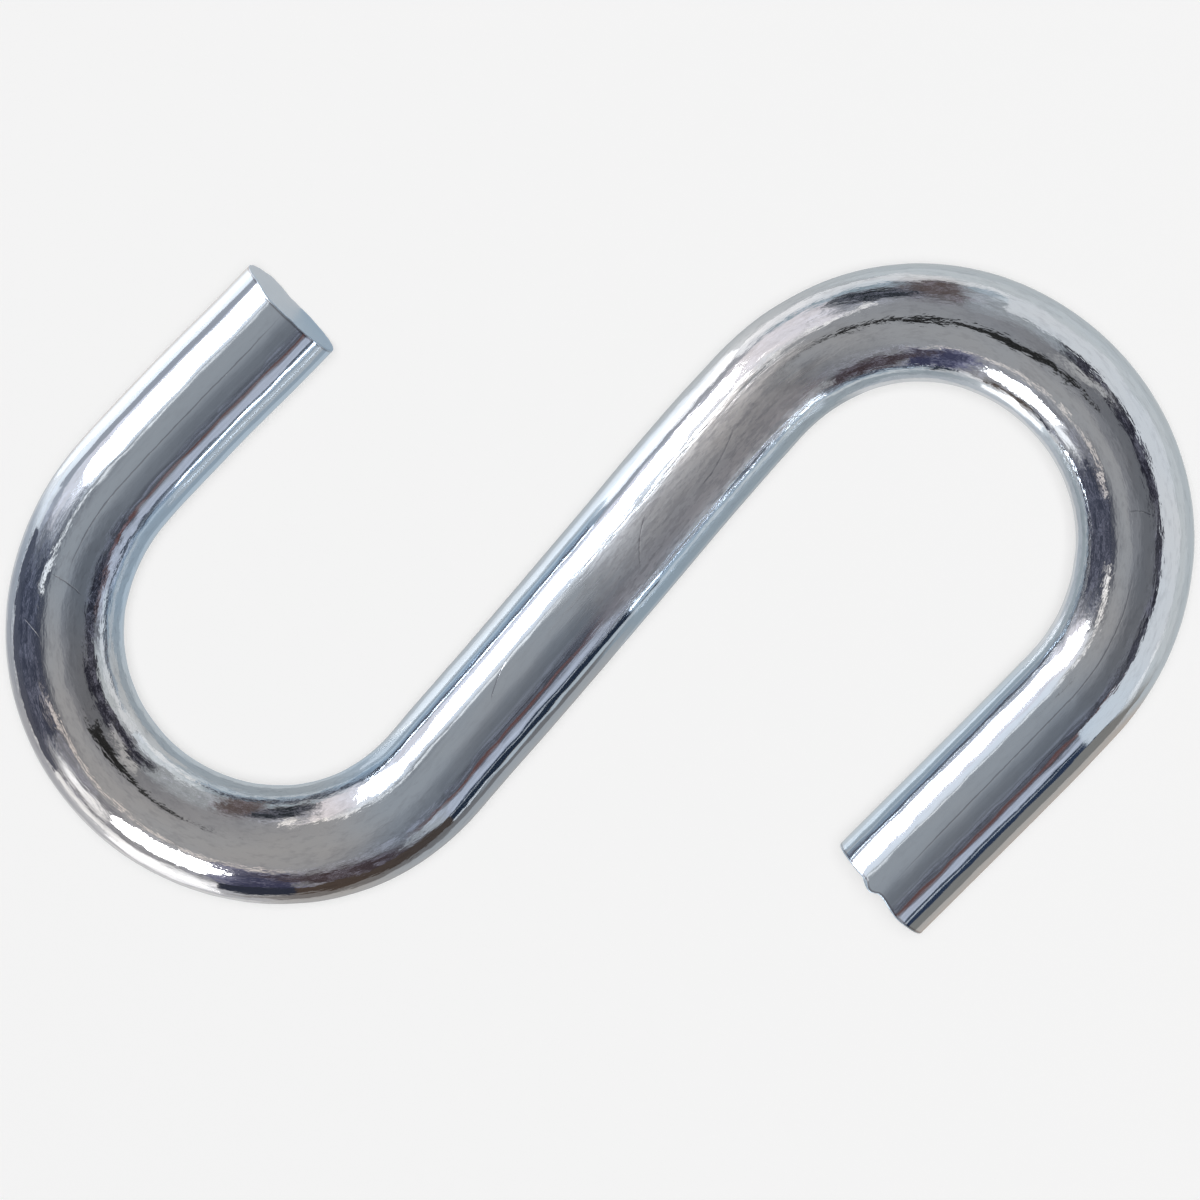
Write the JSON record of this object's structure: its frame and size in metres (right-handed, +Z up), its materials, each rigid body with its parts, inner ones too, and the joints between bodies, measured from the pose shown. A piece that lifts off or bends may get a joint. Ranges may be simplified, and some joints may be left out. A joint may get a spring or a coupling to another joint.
{
  "type": "s hook",
  "caption": "S-shaped hook bent from a length of round zinc-plated steel wire, with an open eye at either end facing opposite ways.",
  "frame": {"origin": "middle of the footprint of the hook lying flat on its side, on the surface that it lies on", "axes": "+X is the line of pull, through the centres of the two bends, towards the right eye; +Z is up, square to the flat of the hook; +Y completes the right-handed set, towards the tip of the left eye"},
  "size_m": [0.064, 0.0396, 0.0063],
  "materials": {
    "zinc_plated_wire": "bright zinc plate over drawn steel wire, with fine die lines along the wire"
  },
  "bodies": {
    "root": {"s_hook": "zinc_plated_wire"}
  },
  "joints": []
}
